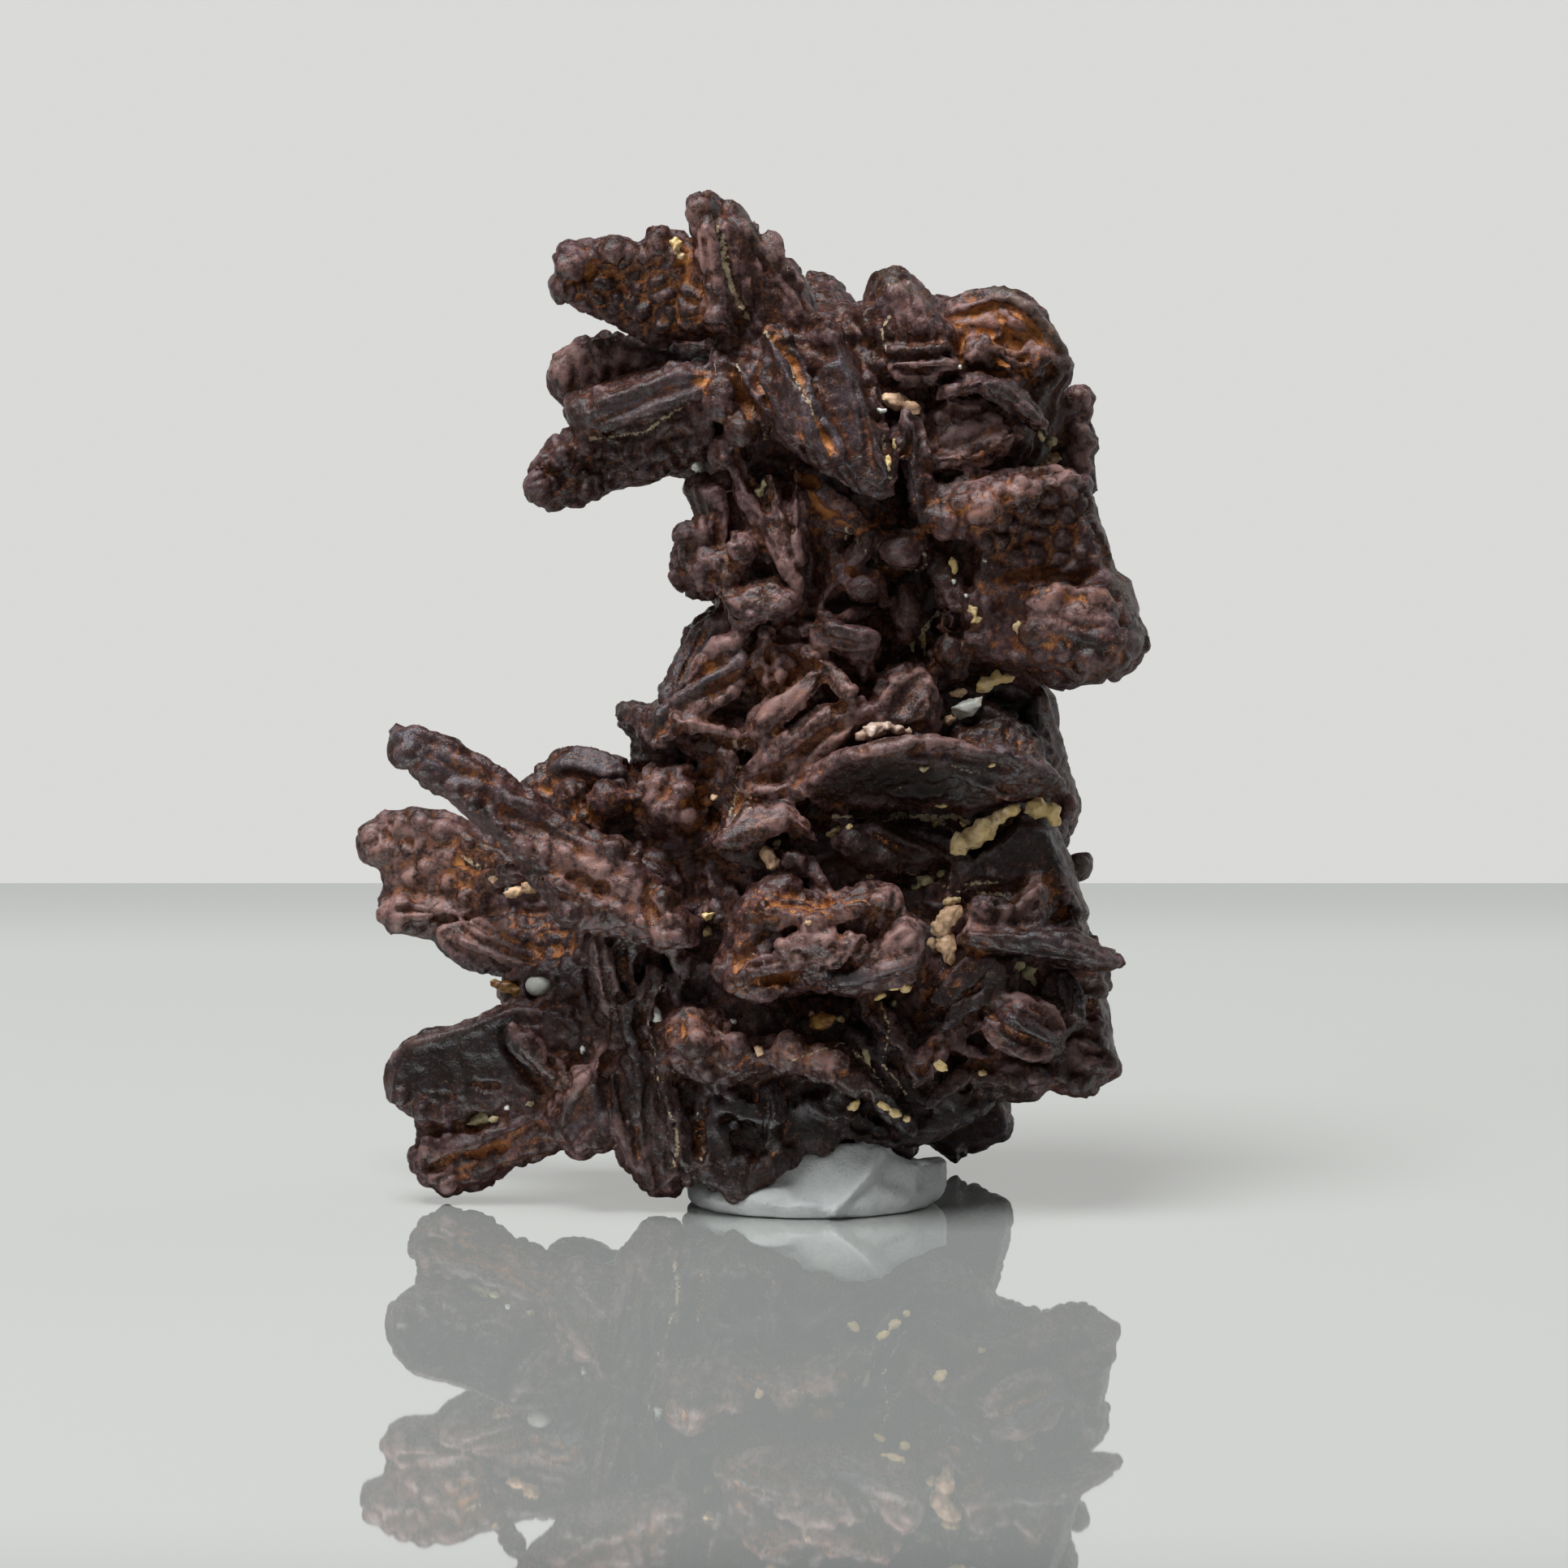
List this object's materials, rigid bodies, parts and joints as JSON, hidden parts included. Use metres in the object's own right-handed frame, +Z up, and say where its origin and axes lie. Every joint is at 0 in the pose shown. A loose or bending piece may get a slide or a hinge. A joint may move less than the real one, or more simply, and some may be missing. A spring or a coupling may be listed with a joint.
{
  "type": "goethite pseudomorph",
  "caption": "Iron-brown mineral cluster of interlocking knobbly blades, with pale sand grains lodged between them, standing on a pressed lump of display putty.",
  "frame": {"origin": "middle of the specimen's bounding box, on the surface that the putty and the lowest tips stand on", "axes": "+Z up, along the specimen's height; +X to the right of its display face; -Y out of that face; +Y is the shallowest direction"},
  "size_m": [0.0492, 0.0282, 0.0625],
  "materials": {
    "goethite": "waxy semi-gloss, dark purple-brown with orange rust in the recesses",
    "putty": "matte, pale grey-white",
    "grain_cream": "dull, cream to pale yellow",
    "grain_white": "frosted, milky white",
    "grain_amber": "frosted, amber brown"
  },
  "bodies": {
    "root": {"goethite_cluster": "goethite", "display_putty": "putty", "sand_bead_left": "grain_white", "amber_chip_left": "grain_amber", "rock_crumb_waist": "grain_cream", "rock_crumb_right_edge": "grain_cream", "sand_tooth_right": "grain_white", "rock_crumb_under_plate": "grain_cream", "sand_bead_shelf": "grain_white", "rock_crumb_centre": "grain_cream", "rock_crumb_beside_spike": "grain_cream", "rock_crumb_under_ridges": "grain_cream", "amber_grain_low": "grain_amber", "rock_crumb_low_left": "grain_cream", "rock_crumb_high": "grain_cream"}
  },
  "joints": []
}
